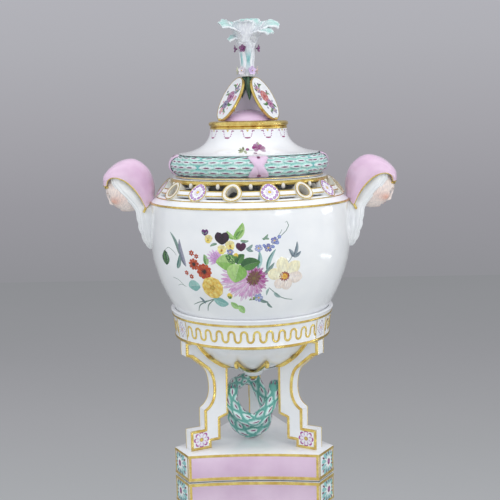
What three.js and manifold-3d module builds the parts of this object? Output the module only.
// Potpourri vase of glazed porcelain: a round vase with a pierced shoulder gallery and two draped
// mask handles, held by a three-legged stand on a three-sided plinth, under a lift-off lid that
// carries three leaning medallions and a leaf finial. Millimetres, +Z up, origin on the axis in
// the plane that the foot rests on. The front is -Y, and azimuths turn from the front towards +X.

import * as THREE from 'three';
import { mergeVertices } from 'three/addons/utils/BufferGeometryUtils.js';
import Module from 'manifold-3d';

const wasm = await Module();
wasm.setup();

// Clearances
const seatGap = 0.3;
const ringGap = 0.35;
const flangeGap = 0.6;
const wreathGap = 0.4;
const tieGap = 0.5;
const pendantGap = 0.7;
const blossomGap = 0.6;
const weld = 0.0001;

// Roundness of the turned pieces
const turnSteps = 28;
const smallTurnSteps = 16;

// Plinth
const plinthHeight = 22.3;
const plinthCornerReach = 66.6;
const plinthCornerHalfWidth = 12.6;
const plinthSideSag = 4;
const plinthWall = 7;
const plinthTopThickness = 6;
const footInset = 2;
const footHeight = 0.9;

// Bowl of the vase, and the wall of the stand ring round it at the band
const bowlRadius = 61.3;
const bowlCentreRise = 31.7;
const ringWall = 1.1;

// Legs, with heights above the plinth top and depths below the stand ring
const legCount = 3;
const legHeight = 89;
const legThickness = 9.6;
const legInnerReach = 26.3;
const legWaistReach = 38.9;
const legWaistHeight = 47.7;
const legKneeReach = 47.6;
const legKneeHeight = 32;
const legFootReach = 60.1;
const legFootHeight = 16.3;
const legToeReach = 42.3;
const legToeHeight = 5.6;
const legHeelReach = 34;
const legHeelHeight = 23;
const legHeelRise = 2.3;
const legHeadInset = 0.2;
const legHeadDepth = 11;
const legHeadStep = 5;
const legHeadSlope = 1.4;
const legBrowReach = 44.5;
const legBrowDepth = 23.3;
const legBend = 4;

// Stand ring, with its profile from the bottom edge up
const ringHeight = 23.5;
const ringBandBottom = 3;
const ringBandTop = 17.4;
const ringBandFlare = 1.6;
const ringBead = 0.5;
const ringLipOverhang = 3.6;
const ringLipThickness = 1.6;

// Vase body above its bowl: the flared wall, the widest part and the shoulder
const bodyNeckRise = 22.1;
const bodyNeckStep = 0.2;
const neckBlend = 3.4;
const bodyReach = 80;
const bodyWideRise = 93.7;
const bodyFlareOverreach = 4;
const bodyFlareRise = 58.7;
const bodyWideHold = 13;
const shoulderHeight = 15.4;
const shoulderInset = 0.5;
const shoulderEdge = 0.8;
const shoulderSlope = 4.9;
const shoulderTopRise = 4.4;
const shoulderTopWidth = 4.3;
const bodyWall = 4.2;

// Leaf cup and pendant under the body
const calyxLeaves = 9;
const calyxDipReach = 19;
const calyxTipReach = 36;
const calyxThickness = 1.7;
const calyxTurn = 20;
const calyxTipLength = 3;
const calyxTipWidth = 1.7;
const pendantReach = 8.3;
const pendantHeight = 6.3;
const pendantTipReach = 3.4;
const pendantTipHeight = 3.4;

// Garland of leaves between the legs
const garlandRadius = 5.5;
const garlandKnotDepth = 44.5;

// Pierced gallery between the shoulder and the mouth rim
const galleryElements = 16;
const galleryRise = 14.6;
const galleryLeanIn = 11.8;
const galleryRimWidth = 5.6;
const galleryRimHeight = 3.8;
const galleryRimChamfer = 0.9;
const galleryBaseHeight = 1.3;
const galleryFirstTurn = 13.3;
const gallerySetBack = 1.2;
const ovalSides = 8;
const ovalHalfWidth = 7.9;
const ovalBite = 0.3;
const tubeWall = 2.2;
const tubeDepth = 5.6;
const rosetteDepth = 4.2;
const barHeight = 5.6;
const barDepth = 3;
const barBite = 2.1;

// Lid: a concave skirt with a flange in the mouth and a leaf wreath round its edge
const flangeDepth = 5;
const flangeWall = 3.6;
const lidWall = 3.8;
const seatBearing = 1.6;
const seatThickness = 1.3;
const wreathInset = 3.8;
const wreathHalfWidth = 8.2;
const wreathHalfHeight = 7.7;
const wreathSeatInset = 2.8;
const ridgeOverhang = 0.4;
const ridgeThickness = 0.8;
const skirtRise = 36.8;
const skirtTopReach = 30.6;
const tieCount = 4;
const tieTurn = 8;
const tieWidth = 9;
const tieThickness = 1.4;
const tieFrom = -58;
const tieTo = 72;

// Gilt collar and the floor inside it
const collarSeatInset = 3.2;
const collarHeight = 6;
const collarBeadOverhang = 0.4;
const collarBeadRadius = 1.9;
const floorRise = 5.7;
const humpInset = 6.8;
const humpHeight = 9.3;

// Three medallions that lean together
const medallionCount = 3;
const medallionTurn = 60;
const medallionHalfWidth = 14;
const medallionHalfHeight = 19;
const medallionThickness = 2.2;
const medallionBevel = 0.45;
const medallionInset = 3;
const medallionTopReach = 6.1;

// Finial
const rootLength = 19;
const trunkHeight = 29.5;
const trunkTopReach = 9;
const trunkTopShare = 0.85;
const blossomCount = 6;
const blossomThickness = 2.2;
const blossomPetals = 5;
const blossomHeight = 4.6;
const clusterDrop = 8;
const clusterRadius = 3;
const clusterTurns = [-95, -20, 75];
const leafThickness = 1.5;
const leafStartDrop = 3;

// Finial leaves: azimuth, reach of the tip, rises of the tip and the crest above the trunk's top,
// and width
const finialLeaves = [
  { turn: -80, reach: 19.5, tip: 8, crest: 13.5, width: 14 },
  { turn: -12, reach: 14.5, tip: 2, crest: 10.5, width: 13 },
  { turn: -46, reach: 15, tip: -3, crest: 2, width: 7 },
  { turn: 88, reach: 25.5, tip: 9, crest: 12.5, width: 9 },
  { turn: 52, reach: 20.5, tip: 1, crest: 5, width: 9 },
  { turn: 130, reach: 18, tip: 5.5, crest: 11.5, width: 11 },
  { turn: 176, reach: 14.5, tip: 10.5, crest: 16, width: 13 },
  { turn: -132, reach: 17, tip: 5.5, crest: 13, width: 12 },
];

// Mask handles: the head's place and size, and the drapery over it
const headReachOut = 20;
const headRise = 9.5;
const headTilt = 28;
const headDepth = 15;
const headHalfWidth = 12;
const headHalfHeight = 18.5;
const headShareForward = 0.56;
const noseHalfSizes = [1.9, 3.2, 4];
const noseSink = 0.6;
const noseDrop = 3.2;
const chinHalfSizes = [5, 5, 4.2];
const chinDrop = 14;
const hoodThickness = 2.4;
const hairHalfWidth = 13.6;
const hairDrop = 39;
const hairEndThickness = 1.2;
const hairRoundReach = 38;
const hairRoundHeight = 48;
const hairRoundOut = 4;
const hairRoundDrop = 6;

// Drapery: half width, reach past the body's widest part and rise above its shoulder, from the end
// on the shoulder to the brow, for the crown and for the hem on each side
const hoodCrown = [
  [10.6, -1.8, 3.6],
  [13, -2.6, 13.5],
  [14, 1.8, 25.5],
  [14.8, 13, 33.2],
  [14.4, 26, 30.4],
  [12, 36, 21],
  [8.5, 36.8, 13.4],
];
const hoodHem = [
  [0, 2.8, -4.2],
  [0, 6, 3.2],
  [0, 12, 11.6],
  [0, 19.5, 18],
  [0, 27, 20.2],
  [0, 32, 18],
  [0, 34, 13.6],
];

// Side of the hair above its lower end: reach past the body's widest part and rise above its shoulder
const hairSide = [
  [3.6, -31],
  [6, -22.5],
  [8.4, -15],
  [10.4, -9],
  [18, -3],
  [25.5, 6.5],
  [31, 16],
  [26, 24],
  [14, 22],
  [4, 10],
  [-1, 0],
];

// Heights that follow from the sizes above
const ringBottom = plinthHeight + legHeight;
const ringTop = ringBottom + ringHeight;
const bowlCentre = ringBottom + bowlCentreRise;
const shoulderZ = ringBottom + bodyWideRise + shoulderHeight;
const galleryBase = shoulderZ + shoulderTopRise;
const rimTop = galleryBase + galleryRise;
const lidSeat = rimTop + seatGap;
const wreathZ = lidSeat + seatThickness + wreathGap + wreathHalfHeight;
const ridgeZ = wreathZ + wreathHalfHeight + seatGap;
const collarSeat = lidSeat + skirtRise;
const floorZ = collarSeat + floorRise;

// Reaches from the axis that follow from the sizes above
const ringReach = bowlRadius + ringWall;
const legHeadReach = ringReach - legHeadInset;
const bodyShoulderReach = bodyReach - shoulderInset;
const shoulderTopReach = bodyShoulderReach - shoulderSlope;
const bodyMouthReach = shoulderTopReach - shoulderTopWidth;
const calyxInnerReach = pendantReach + pendantGap;
const galleryRimReach = shoulderTopReach - galleryLeanIn;
const galleryRimInner = galleryRimReach - galleryRimWidth;
const seatReach = galleryRimInner + seatBearing;
const wreathReach = seatReach - wreathInset;
const wreathSeatReach = wreathReach - wreathSeatInset;
const ridgeReach = wreathReach + ridgeOverhang;
const collarSeatReach = skirtTopReach - collarSeatInset;
const humpReach = collarSeatReach - humpInset;
const medallionFootReach = collarSeatReach - medallionInset;

// Lean of the medallions, and the finial that stands on their tops
const lean = Math.asin((medallionFootReach - medallionTopReach) / (2 * medallionHalfHeight));
const medallionFootZ = floorZ + seatGap + 0.5 * medallionThickness * Math.sin(lean);
const medallionTopZ = medallionFootZ + 2 * medallionHalfHeight * Math.cos(lean)
  + 0.5 * medallionThickness * Math.sin(lean);
const trunkFoot = medallionTopZ + seatGap;
const trunkTop = trunkFoot + trunkHeight;
const trunkReach = medallionTopReach;
const rootReach = medallionTopReach - (0.5 * medallionThickness) / Math.cos(lean) - seatGap;
const blossomReach = trunkReach + seatGap;
const blossomRadius = blossomReach * Math.tan(Math.PI / blossomCount) - 0.5 * blossomGap;

const glazes = {
  white: { color: 0xeef2f4, roughness: 0.12, metalness: 0 },
  pink: { color: 0xd9b8d8, roughness: 0.15, metalness: 0 },
  teal: { color: 0x9fd4d4, roughness: 0.18, metalness: 0 },
  purple: { color: 0x7c2d78, roughness: 0.2, metalness: 0 },
  green: { color: 0x2f5a3c, roughness: 0.25, metalness: 0 },
  gilt: { color: 0xb9923f, roughness: 0.3, metalness: 0.85 },
};

function radians(degrees) {
  return THREE.MathUtils.degToRad(degrees);
}

function point(x, y) {
  return new THREE.Vector2(x, y);
}

// Geometry with shared vertices, no zero triangles and its faces pointing out
function tidy(geometry) {
  const bare = geometry.clone();
  bare.deleteAttribute('normal');
  bare.deleteAttribute('uv');
  const merged = mergeVertices(bare, weld);
  const corners = merged.index.array;
  const kept = [];
  for (let i = 0; i < corners.length; i += 3) {
    const [a, b, c] = [corners[i], corners[i + 1], corners[i + 2]];
    if (a !== b && b !== c && c !== a) {
      kept.push(a, b, c);
    }
  }
  if (signedVolume(merged.attributes.position, kept) < 0) {
    for (let i = 0; i < kept.length; i += 3) {
      [kept[i], kept[i + 1]] = [kept[i + 1], kept[i]];
    }
  }
  merged.setIndex(kept);
  return merged;
}

function signedVolume(position, corners) {
  const a = new THREE.Vector3();
  const b = new THREE.Vector3();
  const c = new THREE.Vector3();
  let volume = 0;
  for (let i = 0; i < corners.length; i += 3) {
    a.fromBufferAttribute(position, corners[i]);
    b.fromBufferAttribute(position, corners[i + 1]);
    c.fromBufferAttribute(position, corners[i + 2]);
    volume += a.dot(b.cross(c)) / 6;
  }
  return volume;
}

function toSolid(geometry) {
  const clean = tidy(geometry);
  return new wasm.Manifold(new wasm.Mesh({
    numProp: 3,
    vertProperties: new Float32Array(clean.attributes.position.array),
    triVerts: new Uint32Array(clean.index.array),
  }));
}

function toGeometry(solid) {
  const mesh = solid.getMesh();
  const geometry = new THREE.BufferGeometry();
  geometry.setAttribute('position', new THREE.BufferAttribute(mesh.vertProperties, 3));
  geometry.setIndex(new THREE.BufferAttribute(mesh.triVerts, 1));
  return geometry;
}

function joined(solids) {
  return solids.reduce((sum, solid) => sum.add(solid));
}

function largestPiece(solid) {
  const pieces = solid.decompose();
  return pieces.reduce((best, piece) => (piece.volume() > best.volume() ? piece : best));
}

// Turned solid: the outline is (radius, height), and closes on itself or on the axis
function turned(outline, steps = turnSteps) {
  const first = outline[0];
  const last = outline[outline.length - 1];
  const onAxis = first.x === 0 && last.x === 0;
  const closed = onAxis ? outline : [...outline, first.clone()];
  return new THREE.LatheGeometry(closed, steps).rotateX(Math.PI / 2);
}

// Takes a flat shape drawn as (radius, height) into the front radial plane, centred on it
function extrudedRadially(shape, thickness, curveSegments = 6) {
  const slab = new THREE.ExtrudeGeometry(shape, {
    depth: thickness,
    bevelEnabled: false,
    curveSegments,
  });
  slab.translate(0, 0, -thickness / 2);
  const toRadialPlane = new THREE.Matrix4().makeBasis(
    new THREE.Vector3(0, -1, 0),
    new THREE.Vector3(0, 0, 1),
    new THREE.Vector3(-1, 0, 0),
  );
  return slab.applyMatrix4(toRadialPlane);
}

// Takes a flat piece drawn in XY, facing +Z, to the front: it leans inwards by the given angle
function leanedAtFront(geometry, leanAngle, reach, height) {
  const toFront = new THREE.Matrix4().makeBasis(
    new THREE.Vector3(1, 0, 0),
    new THREE.Vector3(0, Math.sin(leanAngle), Math.cos(leanAngle)),
    new THREE.Vector3(0, -Math.cos(leanAngle), Math.sin(leanAngle)),
  );
  toFront.setPosition(0, -reach, height);
  return geometry.applyMatrix4(toFront);
}

function ovalShape(halfWidth, halfHeight, sides) {
  const points = [];
  for (let i = 0; i < sides; i += 1) {
    const angle = (2 * Math.PI * i) / sides;
    points.push(point(halfWidth * Math.cos(angle), halfHeight * Math.sin(angle)));
  }
  return new THREE.Shape(points);
}

// Curved plate: place(u, v) gives its middle surface for u and v from 0 to 1
function curvedPlate(place, alongSteps, acrossSteps, thickness) {
  const rows = alongSteps + 1;
  const columns = acrossSteps + 1;
  const small = 0.001;
  const positions = [];
  for (const side of [1, -1]) {
    for (let i = 0; i < rows; i += 1) {
      for (let j = 0; j < columns; j += 1) {
        const u = i / alongSteps;
        const v = j / acrossSteps;
        const here = place(u, v);
        const along = place(Math.min(u + small, 1), v).sub(place(Math.max(u - small, 0), v));
        const across = place(u, Math.min(v + small, 1)).sub(place(u, Math.max(v - small, 0)));
        const normal = along.cross(across).normalize();
        here.addScaledVector(normal, (side * thickness) / 2);
        positions.push(here.x, here.y, here.z);
      }
    }
  }
  const at = (side, i, j) => side * rows * columns + i * columns + j;
  const corners = [];
  const quad = (a, b, c, d) => corners.push(a, b, c, a, c, d);
  for (let i = 0; i < alongSteps; i += 1) {
    for (let j = 0; j < acrossSteps; j += 1) {
      quad(at(0, i, j), at(0, i + 1, j), at(0, i + 1, j + 1), at(0, i, j + 1));
      quad(at(1, i, j), at(1, i, j + 1), at(1, i + 1, j + 1), at(1, i + 1, j));
    }
    quad(at(0, i, 0), at(1, i, 0), at(1, i + 1, 0), at(0, i + 1, 0));
    const edge = acrossSteps;
    quad(at(0, i + 1, edge), at(1, i + 1, edge), at(1, i, edge), at(0, i, edge));
  }
  for (let j = 0; j < acrossSteps; j += 1) {
    quad(at(0, 0, j + 1), at(1, 0, j + 1), at(1, 0, j), at(0, 0, j));
    const end = alongSteps;
    quad(at(0, end, j), at(1, end, j), at(1, end, j + 1), at(0, end, j + 1));
  }
  const geometry = new THREE.BufferGeometry();
  geometry.setAttribute('position', new THREE.Float32BufferAttribute(positions, 3));
  geometry.setIndex(corners);
  return geometry;
}

function ellipsoid(halfSizes, place, tilt = 0, sides = 12) {
  const ball = new THREE.SphereGeometry(1, sides, Math.round(0.7 * sides));
  ball.scale(...halfSizes);
  ball.rotateX(tilt);
  return ball.translate(...place);
}

// Plinth: three slightly hollow sides between three canted corners
function plinthOutline(inset) {
  const reach = plinthCornerReach - inset;
  const half = plinthCornerHalfWidth - inset * Math.tan(radians(30));
  const corner = (turn, side) => {
    const angle = radians(turn);
    return point(
      reach * Math.sin(angle) + side * half * Math.cos(angle),
      -reach * Math.cos(angle) + side * half * Math.sin(angle),
    );
  };
  const shape = new THREE.Shape();
  const step = 360 / legCount;
  for (let k = 0; k < legCount; k += 1) {
    const turn = 0.5 * step + step * k;
    const sideTurn = radians(turn + 0.5 * step);
    const near = corner(turn, -1);
    const far = corner(turn, 1);
    const next = corner(turn + step, -1);
    const pull = 2 * plinthSideSag;
    const middle = point(
      (far.x + next.x) / 2 - pull * Math.sin(sideTurn),
      (far.y + next.y) / 2 + pull * Math.cos(sideTurn),
    );
    if (k === 0) {
      shape.moveTo(near.x, near.y);
    }
    shape.lineTo(far.x, far.y);
    shape.quadraticCurveTo(middle.x, middle.y, next.x, next.y);
  }
  return shape;
}

function plinthLayer(inset, from, to) {
  const layer = new THREE.ExtrudeGeometry(plinthOutline(inset), {
    depth: to - from,
    bevelEnabled: false,
    curveSegments: 10,
  });
  return toSolid(layer.translate(0, 0, from));
}

function plinthGeometry() {
  const block = plinthLayer(0, footHeight, plinthHeight);
  const foot = plinthLayer(footInset, 0, footHeight);
  const hollow = plinthLayer(plinthWall, -1, plinthHeight - plinthTopThickness);
  return toGeometry(block.add(foot).subtract(hollow));
}

// Leg: a flat bracket with a stepped foot, whose head fits under the ring and against the bowl
function legGeometry() {
  const foot = plinthHeight;
  const bowlFit = bowlRadius + seatGap;
  const headZ = ringBottom;
  const brow = headZ - legBrowDepth;
  const waist = foot + legWaistHeight;
  const headInner = Math.sqrt(bowlFit ** 2 - (bowlCentre - headZ) ** 2);
  const startAngle = Math.atan2(headZ - bowlCentre, headInner);
  const endAngle = -Math.acos(legInnerReach / bowlFit);
  const shape = new THREE.Shape();
  shape.moveTo(legToeReach, foot);
  shape.lineTo(legFootReach, foot);
  shape.lineTo(legFootReach, foot + legFootHeight);
  shape.lineTo(legKneeReach, foot + legFootHeight);
  shape.lineTo(legKneeReach, foot + legKneeHeight);
  shape.quadraticCurveTo(legWaistReach, foot + legKneeHeight + legBend, legWaistReach, waist);
  shape.quadraticCurveTo(legWaistReach, (waist + brow) / 2 + legBend, legBrowReach, brow);
  shape.lineTo(legHeadReach - legHeadStep, headZ - legHeadDepth - legHeadSlope);
  shape.lineTo(legHeadReach, headZ - legHeadDepth);
  shape.lineTo(legHeadReach, headZ);
  shape.lineTo(headInner, headZ);
  shape.absarc(0, bowlCentre, bowlFit, startAngle, endAngle, true);
  shape.lineTo(legInnerReach, foot + legHeelHeight + legHeelRise);
  shape.lineTo(legHeelReach, foot + legHeelHeight);
  shape.lineTo(legHeelReach, foot + legToeHeight);
  shape.lineTo(legToeReach, foot + legToeHeight);
  shape.closePath();
  return extrudedRadially(shape, legThickness);
}

// Outline of the vase body set in by the given wall, from the axis up to its widest part
function bodyOutline(inset, arcSteps = 6, wallSteps = 6) {
  const points = [];
  const radius = bowlRadius - inset;
  const neckZ = ringBottom + bodyNeckRise;
  const arcEnd = Math.asin((neckZ - neckBlend - bowlCentre) / radius);
  for (let i = 0; i <= arcSteps; i += 1) {
    const angle = -Math.PI / 2 + ((arcEnd + Math.PI / 2) * i) / arcSteps;
    const x = i === 0 ? 0 : radius * Math.cos(angle);
    points.push(point(x, bowlCentre + radius * Math.sin(angle)));
  }
  const wall = new THREE.CubicBezierCurve(
    point(bowlRadius + bodyNeckStep - inset, neckZ),
    point(bodyReach + bodyFlareOverreach - inset, ringBottom + bodyFlareRise),
    point(bodyReach - inset, ringBottom + bodyWideRise - bodyWideHold),
    point(bodyReach - inset, ringBottom + bodyWideRise),
  );
  points.push(...wall.getPoints(wallSteps));
  return points;
}

// Reach of an outline at a height, on its upward run
function reachAt(outline, z) {
  const next = outline.findIndex((p) => p.y > z);
  const above = outline[next];
  const below = outline[next - 1];
  return below.x + ((above.x - below.x) * (z - below.y)) / (above.y - below.y);
}

function bodyGeometry() {
  const outside = bodyOutline(0);
  outside.push(
    point(bodyShoulderReach, shoulderZ - shoulderEdge),
    point(bodyShoulderReach - 0.5 * shoulderEdge, shoulderZ),
    point(shoulderTopReach, galleryBase),
    point(bodyMouthReach, galleryBase),
    point(bodyMouthReach, galleryBase - bodyWall),
    point(bodyShoulderReach - bodyWall, shoulderZ - bodyWall),
  );
  const inside = bodyOutline(bodyWall, 4, 4).reverse();
  return turned([...outside, ...inside]);
}

// Space that the body fills at the shoulder, with its clearance, for cutting what lies on it
function bodyRoom() {
  const low = shoulderZ - 1.5 * hairDrop;
  const widest = Math.max(...bodyOutline(0).map((p) => p.x)) + seatGap;
  return toSolid(turned([
    point(0, low),
    point(widest, low),
    point(widest, shoulderZ + seatGap),
    point(shoulderTopReach + seatGap, galleryBase + seatGap),
    point(0, galleryBase + seatGap),
  ]));
}

function ringGeometry() {
  const fitted = bodyOutline(0).filter((p) => p.y > ringBottom + 1 && p.y < ringTop - 1);
  const bowlAtBottom = Math.sqrt(bowlRadius ** 2 - (bowlCentre - ringBottom) ** 2);
  const bodyAtTop = reachAt(bodyOutline(0), ringTop);
  const lipReach = bodyAtTop + ringLipOverhang;
  const inner = [
    point(bowlAtBottom + ringGap, ringBottom),
    ...fitted.map((p) => point(p.x + ringGap, p.y)),
    point(bodyAtTop + ringGap, ringTop),
  ];
  const outer = [
    point(ringReach - ringBead, ringBottom),
    point(ringReach + 0.5 * ringBead, ringBottom + ringBead),
    point(ringReach + 0.5 * ringBead, ringBottom + ringBandBottom - ringBead),
    point(ringReach, ringBottom + ringBandBottom),
    point(ringReach + 0.3 * ringBandFlare, ringBottom + (ringBandBottom + ringBandTop) / 2),
    point(ringReach + ringBandFlare, ringBottom + ringBandTop),
    point(ringReach + ringBandFlare + ringBead, ringBottom + ringBandTop + 2 * ringBead),
    point(ringReach + ringBandFlare + ringBead, ringBottom + ringBandTop + 4 * ringBead),
    point(lipReach - ringBead, ringTop - ringLipThickness),
    point(lipReach, ringTop - 0.5 * ringLipThickness),
    point(lipReach - ringBead, ringTop),
  ];
  return turned([...outer, ...inner.reverse()]);
}

// Leaf cup under the bowl: nine leaf tips with dips between them, cut where the legs stand
function calyxGeometry() {
  const around = 4 * calyxLeaves;
  const outwards = 3;
  const lift = 2 * seatGap;
  const edgeAt = (angle) => {
    const wave = Math.abs(Math.cos((calyxLeaves / 2) * (angle - radians(calyxTurn))));
    return calyxDipReach + (calyxTipReach - calyxDipReach) * wave ** 2.2;
  };
  const positions = [];
  for (const height of [lift, lift + calyxThickness]) {
    for (let j = 0; j < around; j += 1) {
      const angle = (2 * Math.PI * j) / around;
      for (let i = 0; i <= outwards; i += 1) {
        const reach = calyxInnerReach + (edgeAt(angle) - calyxInnerReach) * (i / outwards);
        const radius = bowlRadius + height;
        const z = bowlCentre - Math.sqrt(radius ** 2 - reach ** 2);
        positions.push(reach * Math.sin(angle), -reach * Math.cos(angle), z);
      }
    }
  }
  const at = (layer, j, i) => (layer * around + (j % around)) * (outwards + 1) + i;
  const corners = [];
  const quad = (a, b, c, d) => corners.push(a, b, c, a, c, d);
  for (let j = 0; j < around; j += 1) {
    for (let i = 0; i < outwards; i += 1) {
      quad(at(0, j, i), at(0, j, i + 1), at(0, j + 1, i + 1), at(0, j + 1, i));
      quad(at(1, j, i), at(1, j + 1, i), at(1, j + 1, i + 1), at(1, j, i + 1));
    }
    quad(at(0, j + 1, 0), at(1, j + 1, 0), at(1, j, 0), at(0, j, 0));
    quad(at(0, j, outwards), at(1, j, outwards), at(1, j + 1, outwards), at(0, j + 1, outwards));
  }
  const geometry = new THREE.BufferGeometry();
  geometry.setAttribute('position', new THREE.Float32BufferAttribute(positions, 3));
  geometry.setIndex(corners);
  let cup = toSolid(geometry);
  const tipRadius = bowlRadius + lift + calyxThickness;
  const tipSlope = Math.asin(calyxTipReach / tipRadius);
  for (let k = 0; k < calyxLeaves; k += 1) {
    const turn = radians(calyxTurn + (360 / calyxLeaves) * k);
    const tipZ = bowlCentre - tipRadius * Math.cos(tipSlope);
    const drop = ellipsoid(
      [calyxTipWidth, calyxTipLength, calyxTipWidth],
      [0, -calyxTipReach, tipZ],
      -tipSlope,
      6,
    );
    cup = cup.add(toSolid(drop.rotateZ(turn)));
  }
  const slotSize = bowlRadius;
  const slot = new THREE.BoxGeometry(legThickness + 2 * seatGap, slotSize, slotSize);
  slot.translate(0, -(legInnerReach - seatGap + 0.5 * slotSize), bowlCentre - 0.75 * slotSize);
  for (const turn of legTurns()) {
    cup = cup.subtract(toSolid(slot.clone().rotateZ(radians(turn))));
  }
  return toGeometry(largestPiece(cup));
}

function pendantGeometry() {
  const top = bowlCentre - bowlRadius - seatGap;
  const neck = top - pendantHeight;
  const tip = neck - pendantTipHeight;
  return turned([
    point(0, tip),
    point(0.7 * pendantTipReach, tip + 0.4),
    point(pendantTipReach, tip + 0.5 * pendantTipHeight),
    point(pendantTipReach, neck),
    point(0.8 * pendantReach, neck + 0.8),
    point(pendantReach, neck + 0.5 * pendantHeight),
    point(pendantReach, top),
    point(0, top),
  ], smallTurnSteps);
}

function legTurns() {
  return Array.from({ length: legCount }, (_, k) => 60 - (360 / legCount) * k);
}

// Garland: one rope of leaves that winds from leg to leg, knotted at the left and rear ones
function garlandRoute() {
  const touch = legInnerReach - seatGap - garlandRadius;
  const knot = ringBottom - garlandKnotDepth;
  const side = touch * Math.sin(radians(60));
  const front = -touch * Math.cos(radians(60));
  const low = plinthHeight + garlandRadius + seatGap;
  const start = [side, front, knot + 1.5];
  const leftKnot = [-side, front, knot - 1];
  const rearKnot = [0, touch, knot - 0.5];
  return [
    [
      start,
      [side - 2.2, front - 4, knot - 7],
      [10.5, -18.5, knot - 15.5],
      [1, -21, knot - 23],
      [-9, -20, knot - 20],
      [-17.3, -15, knot - 10],
      leftKnot,
    ],
    [
      leftKnot,
      [-side + 2, front + 9, knot + 0.4],
      [-9, 13.5, knot + 1],
      rearKnot,
    ],
    [
      rearKnot,
      [5.5, 14.5, knot - 11],
      [9.8, 9.5, knot - 22],
      [8.6, 3.5, low + 6],
      [2, -1.5, low + 0.8],
      [-5, -3, low + 0.2],
      [-11.5, -3, low + 3.4],
      [-16.5, -3, low + 11],
      [-18.2, -3.4, low + 19],
    ],
  ];
}

function garlandGeometry() {
  const section = ovalShape(garlandRadius, garlandRadius, 8);
  const lengths = garlandRoute().map((points) => {
    const path = new THREE.CatmullRomCurve3(points.map((p) => new THREE.Vector3(...p)));
    return toSolid(new THREE.ExtrudeGeometry(section, {
      steps: 3 * (points.length - 1),
      extrudePath: path,
      bevelEnabled: false,
    }));
  });
  const knots = garlandRoute().slice(1).map((points) => toSolid(
    ellipsoid([garlandRadius, garlandRadius, garlandRadius], points[0], 0, 8),
  ));
  const rope = joined([...lengths, ...knots]);
  const room = new THREE.BoxGeometry(legThickness + 2 * seatGap, 40, legHeight);
  room.translate(0, -(legInnerReach - seatGap + 20), plinthHeight + 0.5 * legHeight);
  const rooms = legTurns().map((turn) => toSolid(room.clone().rotateZ(radians(turn))));
  return toGeometry(largestPiece(rope.subtract(joined(rooms))));
}

// Pierced gallery: open ovals and closed ovals by turns, joined by bars, under the mouth rim
function galleryGeometry() {
  const rimBottom = rimTop - galleryRimHeight;
  const leanAngle = Math.atan2(galleryLeanIn, galleryRise);
  const reach = (shoulderTopReach + galleryRimReach) / 2 - gallerySetBack;
  const middle = (galleryBase + rimTop) / 2 - 0.5 * gallerySetBack;
  const ovalHalfHeight = 0.5 * Math.hypot(galleryLeanIn, galleryRise) + ovalBite;
  const spacing = 2 * reach * Math.sin(Math.PI / galleryElements);
  const base = toSolid(turned([
    point(bodyMouthReach, galleryBase),
    point(shoulderTopReach, galleryBase),
    point(shoulderTopReach - galleryBaseHeight, galleryBase + galleryBaseHeight),
    point(bodyMouthReach - 0.5 * galleryBaseHeight, galleryBase + galleryBaseHeight),
  ]));
  const rim = toSolid(turned([
    point(galleryRimInner, rimBottom),
    point(galleryRimReach - galleryRimChamfer, rimBottom),
    point(galleryRimReach, rimBottom + galleryRimChamfer),
    point(galleryRimReach, rimTop - galleryRimChamfer),
    point(galleryRimReach - galleryRimChamfer, rimTop),
    point(galleryRimInner, rimTop),
  ]));
  const placed = (shape, depth, turn) => {
    const plate = new THREE.ExtrudeGeometry(shape, { depth, bevelEnabled: false });
    plate.translate(0, 0, -0.5 * depth);
    return toSolid(leanedAtFront(plate, leanAngle, reach, middle).rotateZ(radians(turn)));
  };
  const barHalf = 0.5 * spacing - ovalHalfWidth + barBite;
  const bar = new THREE.Shape([
    point(-barHalf, -0.5 * barHeight),
    point(barHalf, -0.5 * barHeight),
    point(barHalf, 0.5 * barHeight),
    point(-barHalf, 0.5 * barHeight),
  ]);
  const pieces = [base, rim];
  const holes = [];
  const step = 360 / galleryElements;
  for (let k = 0; k < galleryElements; k += 1) {
    const turn = galleryFirstTurn + step * k;
    const open = k % 2 === 1;
    const oval = ovalShape(ovalHalfWidth, ovalHalfHeight, ovalSides);
    pieces.push(placed(oval, open ? tubeDepth : rosetteDepth, turn));
    pieces.push(placed(bar, barDepth, turn + 0.5 * step));
    if (open) {
      const hole = ovalShape(ovalHalfWidth - tubeWall, ovalHalfHeight - 1.5 * tubeWall, ovalSides);
      holes.push(placed(hole, 3 * tubeDepth, turn));
    }
  }
  const envelope = toSolid(turned([
    point(galleryRimInner, galleryBase),
    point(shoulderTopReach + seatGap, galleryBase),
    point(shoulderTopReach + seatGap, rimTop),
    point(galleryRimInner, rimTop),
  ]));
  const pierced = joined(pieces).subtract(joined(holes));
  return toGeometry(pierced.intersect(envelope));
}

// Mask handle: all three pieces are drawn at the front, with outward distances from the axis
function hoodPlate(extra) {
  const edge = (points) => new THREE.CatmullRomCurve3(points.map(
    ([across, out, up]) => new THREE.Vector3(across, -(bodyReach + out), shoulderZ + up),
  ));
  const crown = edge(hoodCrown);
  const hem = edge(hoodHem);
  const place = (u, v) => {
    const top = crown.getPoint(u);
    const foot = hem.getPoint(u);
    const angle = (Math.PI + extra / 6) * (v - 0.5);
    return new THREE.Vector3(
      top.x * Math.sin(angle),
      foot.y + (top.y - foot.y) * Math.cos(angle),
      foot.z + (top.z - foot.z) * Math.cos(angle),
    );
  };
  return toSolid(curvedPlate(place, 9, 8, hoodThickness + 2 * extra));
}

// Space that the hood fills, with its clearance
function hoodRoom() {
  const plate = hoodPlate(seatGap);
  return plate.add(plate.translate(0, 0, -seatGap));
}

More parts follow.
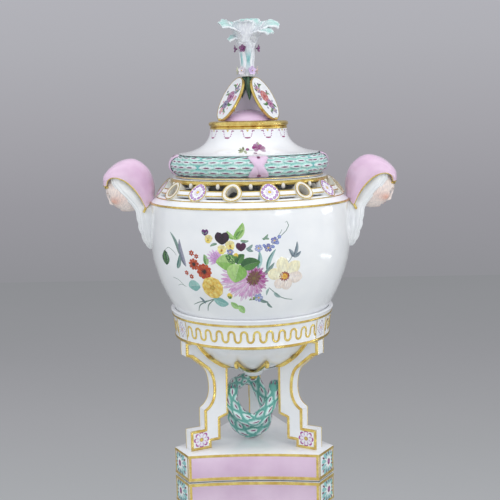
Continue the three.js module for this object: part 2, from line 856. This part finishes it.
function headSolid(extra) {
  const tilt = radians(headTilt);
  const out = new THREE.Vector3(0, -Math.cos(tilt), -Math.sin(tilt));
  const up = new THREE.Vector3(0, -Math.sin(tilt), Math.cos(tilt));
  const centre = new THREE.Vector3(0, -(bodyReach + headReachOut), shoulderZ + headRise);
  const at = (outwards, upwards) => centre.clone()
    .addScaledVector(out, outwards)
    .addScaledVector(up, upwards)
    .toArray();
  const skull = ellipsoid(
    [headHalfWidth + extra, headDepth + extra, headHalfHeight + extra],
    at(0, 0),
    tilt,
  );
  const nose = ellipsoid(
    noseHalfSizes.map((size) => size + extra),
    at(headDepth - noseSink, -noseDrop),
    tilt,
    6,
  );
  const chin = ellipsoid(
    chinHalfSizes.map((size) => size + extra),
    at(headShareForward * headDepth, -chinDrop),
    tilt,
    8,
  );
  return joined([toSolid(skull), toSolid(nose), toSolid(chin)]);
}

function hairSolid() {
  const low = shoulderZ - hairDrop;
  const side = new THREE.Shape([
    point(bodyReach - 1, low),
    point(bodyReach + hairEndThickness, low + 0.5 * hairEndThickness),
    ...hairSide.map(([out, up]) => point(bodyReach + out, shoulderZ + up)),
  ]);
  const round = ellipsoid(
    [hairHalfWidth, hairRoundReach, hairRoundHeight],
    [0, -(bodyReach + hairRoundOut), shoulderZ - hairRoundDrop],
  );
  return toSolid(extrudedRadially(side, 2 * hairHalfWidth)).intersect(toSolid(round));
}

function handlePieces() {
  const room = bodyRoom();
  const hood = largestPiece(hoodPlate(0).subtract(room));
  const head = largestPiece(headSolid(0).subtract(hoodRoom()));
  const hair = largestPiece(hairSolid()
    .subtract(room)
    .subtract(hoodRoom())
    .subtract(headSolid(seatGap)));
  return { hood: toGeometry(hood), head: toGeometry(head), hair: toGeometry(hair) };
}

// Lid
function skirtGeometry() {
  const flangeReach = galleryRimInner - flangeGap;
  const slopeWidth = ridgeReach - skirtTopReach;
  const slopeHeight = collarSeat - ridgeZ - ridgeThickness;
  const slope = new THREE.CubicBezierCurve(
    point(ridgeReach, ridgeZ + ridgeThickness),
    point(ridgeReach - 0.58 * slopeWidth, ridgeZ + ridgeThickness + 0.07 * slopeHeight),
    point(skirtTopReach, collarSeat - 0.6 * slopeHeight),
    point(skirtTopReach, collarSeat),
  );
  const slopePoints = slope.getPoints(5);
  const hollowSlope = slopePoints
    .slice(1)
    .map((p) => point(p.x - lidWall, p.y - 0.8 * lidWall))
    .reverse();
  const hump = (reach, height, base) => {
    const points = [];
    const steps = 3;
    for (let i = 0; i <= steps; i += 1) {
      const angle = (Math.PI / 2) * (i / steps);
      const x = i === steps ? 0 : reach * Math.cos(angle);
      points.push(point(x, base + height * Math.sin(angle)));
    }
    return points;
  };
  return turned([
    ...hump(humpReach - 1, humpHeight - lidWall + 1, floorZ - 1).reverse(),
    point(collarSeatReach - lidWall, floorZ - lidWall),
    ...hollowSlope,
    point(wreathSeatReach - lidWall, ridgeZ - 4),
    point(wreathSeatReach - lidWall, lidSeat + 4),
    point(flangeReach - flangeWall, lidSeat - 1),
    point(flangeReach - flangeWall, lidSeat - flangeDepth),
    point(flangeReach, lidSeat - flangeDepth),
    point(flangeReach, lidSeat),
    point(seatReach, lidSeat),
    point(seatReach, lidSeat + seatThickness),
    point(wreathSeatReach, lidSeat + seatThickness),
    point(wreathSeatReach, ridgeZ),
    point(ridgeReach, ridgeZ),
    ...slopePoints,
    point(collarSeatReach, collarSeat),
    point(collarSeatReach, floorZ),
    ...hump(humpReach, humpHeight, floorZ),
  ]);
}

function wreathOutline(grow, from, to, steps) {
  const points = [];
  for (let i = 0; i <= steps; i += 1) {
    const angle = radians(from + ((to - from) * i) / steps);
    points.push(point(
      wreathReach + (wreathHalfWidth + grow) * Math.cos(angle),
      wreathZ + (wreathHalfHeight + grow) * Math.sin(angle),
    ));
  }
  return points;
}

function wreathGeometry() {
  const inner = wreathSeatReach + seatGap;
  const cut = THREE.MathUtils.radToDeg(Math.acos((inner - wreathReach) / wreathHalfWidth));
  return turned(wreathOutline(0, -cut, cut, 8));
}

function tieGeometry() {
  const outside = wreathOutline(tieGap + tieThickness, tieFrom, tieTo, 7);
  const inside = wreathOutline(tieGap, tieFrom, tieTo, 7).reverse();
  return extrudedRadially(new THREE.Shape([...outside, ...inside]), tieWidth);
}

function collarGeometry() {
  const bead = [];
  const beadZ = collarSeat + collarHeight - collarBeadRadius;
  const beadReach = skirtTopReach + collarBeadOverhang;
  for (let degrees = -70; degrees <= 90; degrees += 40) {
    bead.push(point(
      beadReach + collarBeadRadius * Math.cos(radians(degrees)),
      beadZ + collarBeadRadius * Math.sin(radians(degrees)),
    ));
  }
  return turned([
    point(collarSeatReach + seatGap, collarSeat),
    point(skirtTopReach, collarSeat),
    point(beadReach, collarSeat + 2 * collarBeadOverhang),
    ...bead,
    point(collarSeatReach + seatGap, collarSeat + collarHeight - 0.4),
  ]);
}

function medallionGeometry() {
  const face = ovalShape(
    medallionHalfWidth - medallionBevel,
    medallionHalfHeight - medallionBevel,
    24,
  );
  const plate = new THREE.ExtrudeGeometry(face, {
    depth: medallionThickness - 2 * medallionBevel,
    bevelEnabled: true,
    bevelThickness: medallionBevel,
    bevelSize: medallionBevel,
    bevelSegments: 1,
  });
  plate.translate(0, medallionHalfHeight, medallionBevel - medallionThickness / 2);
  return leanedAtFront(plate, lean, medallionFootReach, medallionFootZ);
}

function rootGeometry() {
  const tip = trunkFoot - rootLength;
  return turned([
    point(0, tip),
    point(0.35 * rootReach, tip + 2.6),
    point(0.8 * rootReach, tip + 0.45 * rootLength),
    point(rootReach, tip + 0.7 * rootLength),
    point(rootReach, trunkFoot),
    point(0, trunkFoot),
  ], smallTurnSteps);
}

function trunkOutline(grow) {
  return [
    point(0, trunkFoot),
    point(trunkReach + grow, trunkFoot),
    point(trunkReach + grow, trunkFoot + 0.2 * trunkHeight),
    point(0.93 * trunkReach + grow, trunkFoot + 0.38 * trunkHeight),
    point(1.06 * trunkReach + grow, trunkFoot + 0.58 * trunkHeight),
    point(trunkTopShare * trunkTopReach + grow, trunkFoot + 0.8 * trunkHeight),
    point(trunkTopReach + grow, trunkFoot + 0.93 * trunkHeight),
    point(trunkTopShare * trunkTopReach + grow, trunkTop + grow),
    point(0, trunkTop + grow),
  ];
}

function finialLeafSolid(leaf, extra) {
  const spine = new THREE.CubicBezierCurve(
    point(trunkTopShare * trunkTopReach, trunkTop - leafStartDrop),
    point(trunkTopReach, trunkTop + leaf.crest - 2),
    point(0.7 * leaf.reach, trunkTop + leaf.crest + 3.5),
    point(leaf.reach, trunkTop + leaf.tip),
  );
  const place = (u, v) => {
    const middle = spine.getPoint(u);
    const bulge = Math.sin(Math.PI * (0.16 + 0.74 * u));
    const half = (0.5 * leaf.width + extra) * bulge ** 0.8;
    const across = 2 * v - 1;
    const cup = 0.18 * half * across * across;
    return new THREE.Vector3(half * across, -(middle.x - cup), middle.y + cup);
  };
  const plate = curvedPlate(place, 6, 4, leafThickness + 2 * extra);
  return toSolid(plate.rotateZ(radians(leaf.turn)));
}

function finialLeafGeometries() {
  const trunkRoom = toSolid(turned(trunkOutline(seatGap), smallTurnSteps));
  let taken = trunkRoom;
  return finialLeaves.map((leaf) => {
    const free = largestPiece(finialLeafSolid(leaf, 0).subtract(taken));
    taken = taken.add(finialLeafSolid(leaf, seatGap));
    return toGeometry(free);
  });
}

function blossomGeometry(radius, thickness, reach, height) {
  const petals = [];
  const sides = 2 * blossomPetals;
  for (let i = 0; i < sides; i += 1) {
    const angle = (2 * Math.PI * i) / sides;
    const lobe = i % 2 === 0 ? radius : 0.72 * radius;
    petals.push(point(lobe * Math.cos(angle), lobe * Math.sin(angle)));
  }
  const flower = new THREE.ExtrudeGeometry(new THREE.Shape(petals), {
    depth: 0.5 * thickness,
    bevelEnabled: true,
    bevelThickness: 0.25 * thickness,
    bevelSize: 0.3,
    bevelOffset: -0.3,
    bevelSegments: 1,
  });
  flower.translate(0, 0, 0.25 * thickness);
  return leanedAtFront(flower, 0, reach, height);
}

// Assembly
const potpourriVase = new THREE.Group();

function add(name, geometry, glaze, turn = 0) {
  const mesh = new THREE.Mesh(tidy(geometry), new THREE.MeshStandardMaterial(glazes[glaze]));
  mesh.name = name;
  mesh.rotation.z = radians(turn);
  potpourriVase.add(mesh);
}

add('plinth', plinthGeometry(), 'pink');
const legNames = ['leg_front_right', 'leg_front_left', 'leg_rear'];
legTurns().forEach((turn, k) => add(legNames[k], legGeometry(), 'white', turn));
add('stand_ring', ringGeometry(), 'white');
add('garland', garlandGeometry(), 'teal');

add('vase_body', bodyGeometry(), 'white');
add('leaf_cup', calyxGeometry(), 'white');
add('pendant', pendantGeometry(), 'white');
add('pierced_gallery', galleryGeometry(), 'white');
const handle = handlePieces();
for (const [side, turn] of [['right', 90], ['left', -90]]) {
  add(`handle_head_${side}`, handle.head, 'white', turn);
  add(`handle_hood_${side}`, handle.hood, 'pink', turn);
  add(`handle_hair_${side}`, handle.hair, 'white', turn);
}

add('lid_skirt', skirtGeometry(), 'white');
add('lid_wreath', wreathGeometry(), 'teal');
for (let k = 0; k < tieCount; k += 1) {
  add(`wreath_tie_${k + 1}`, tieGeometry(), 'pink', tieTurn + (360 / tieCount) * k);
}
add('lid_collar', collarGeometry(), 'gilt');
for (let k = 0; k < medallionCount; k += 1) {
  const turn = medallionTurn + (360 / medallionCount) * k;
  add(`medallion_${k + 1}`, medallionGeometry(), 'white', turn);
}
add('finial_root', rootGeometry(), 'green');
add('finial_trunk', turned(trunkOutline(0), smallTurnSteps), 'white');
finialLeafGeometries().forEach((leaf, k) => add(`finial_leaf_${k + 1}`, leaf, 'teal'));
for (let k = 0; k < blossomCount; k += 1) {
  const flower = blossomGeometry(
    blossomRadius,
    blossomThickness,
    blossomReach,
    trunkFoot + blossomHeight,
  );
  add(`blossom_${k + 1}`, flower, 'pink', 30 + (360 / blossomCount) * k);
}
clusterTurns.forEach((turn, k) => {
  const flower = blossomGeometry(
    clusterRadius,
    blossomThickness,
    trunkTopShare * trunkTopReach + seatGap,
    trunkTop - clusterDrop,
  );
  add(`purple_blossom_${k + 1}`, flower, 'purple', turn);
});

export default potpourriVase;
